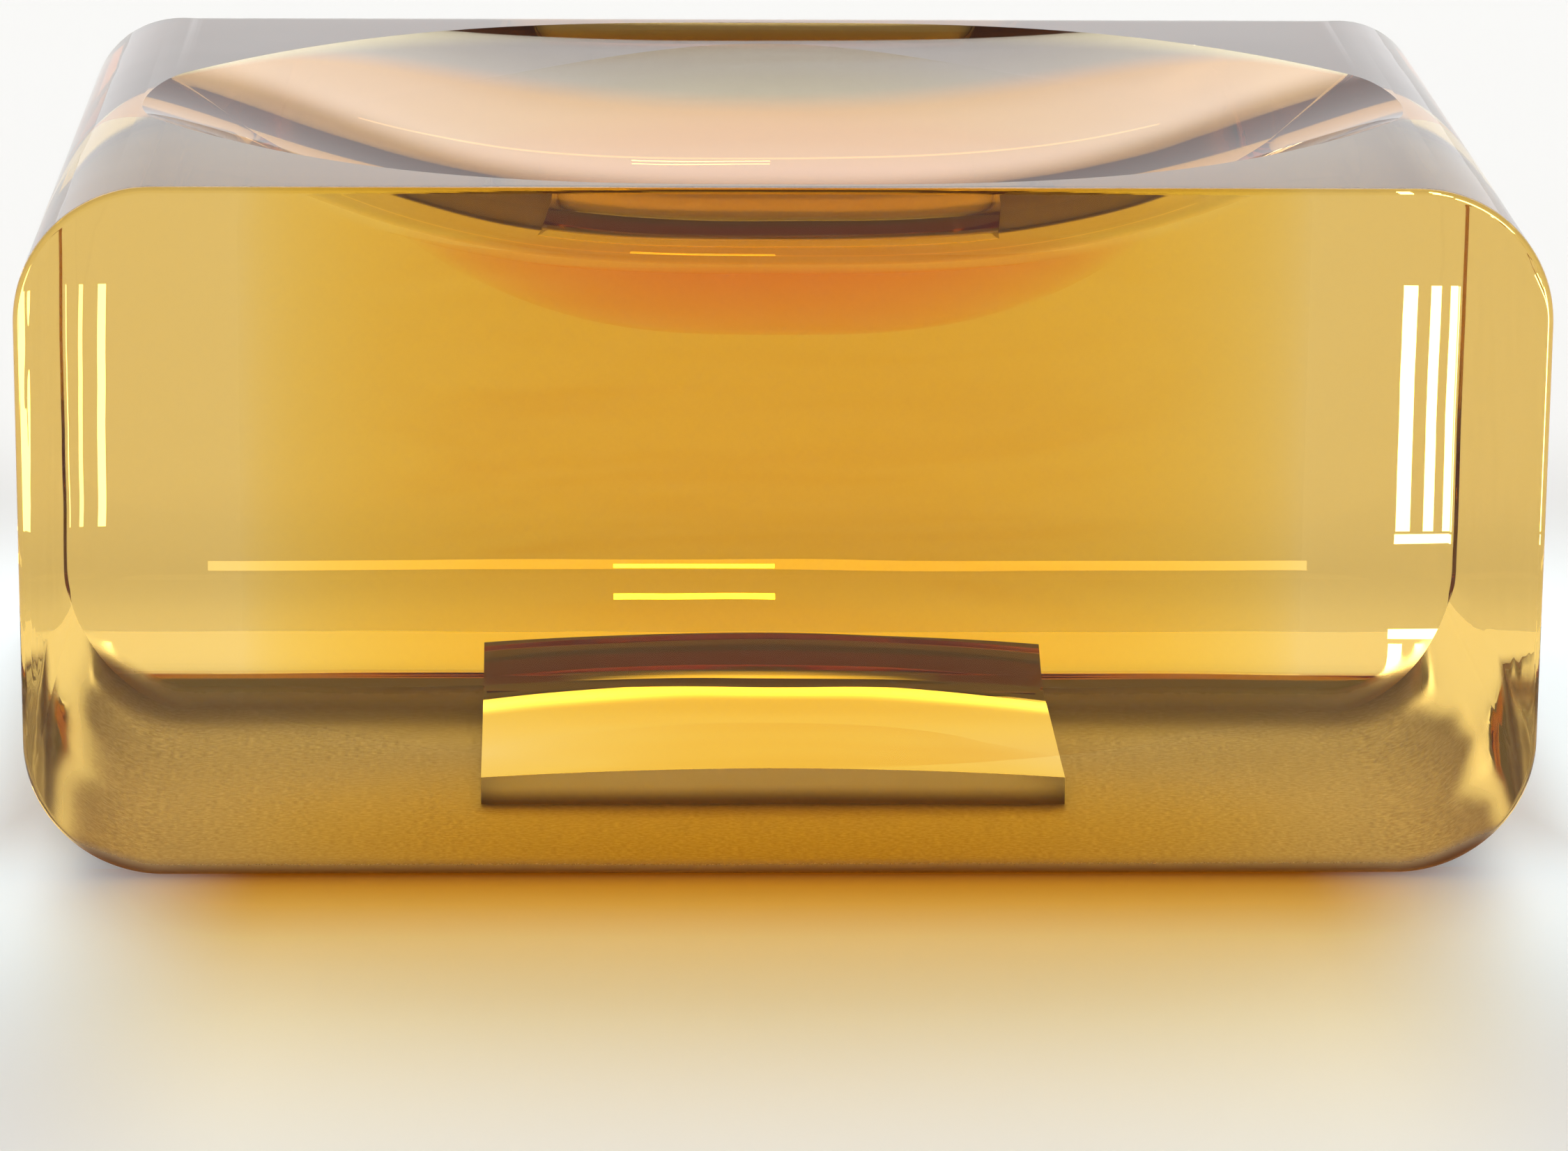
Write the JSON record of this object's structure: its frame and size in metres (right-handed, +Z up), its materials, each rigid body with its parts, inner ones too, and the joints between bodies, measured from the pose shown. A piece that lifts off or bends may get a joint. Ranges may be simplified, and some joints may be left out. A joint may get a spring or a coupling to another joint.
{
  "type": "art glass bowl",
  "caption": "Thick rectangular block of amber glass with rounded long edges, a flat-cut face and a wide shallow oval hollow in its top.",
  "frame": {"origin": "centre of the base, on the surface the bowl stands on", "axes": "+X along the long side, -Y out of the flat-cut face, +Z up"},
  "size_m": [0.17, 0.116, 0.079],
  "materials": {
    "straw_glass": "clear straw-amber glass, polished faces, softly ground base",
    "amber_glass": "clear golden amber glass fused inside the casing",
    "deep_amber_glass": "clear deep orange-amber glass fused under the hollow"
  },
  "bodies": {
    "root": {"pale_casing": "straw_glass", "amber_body": "amber_glass", "deep_amber_lining": "deep_amber_glass"}
  },
  "joints": []
}
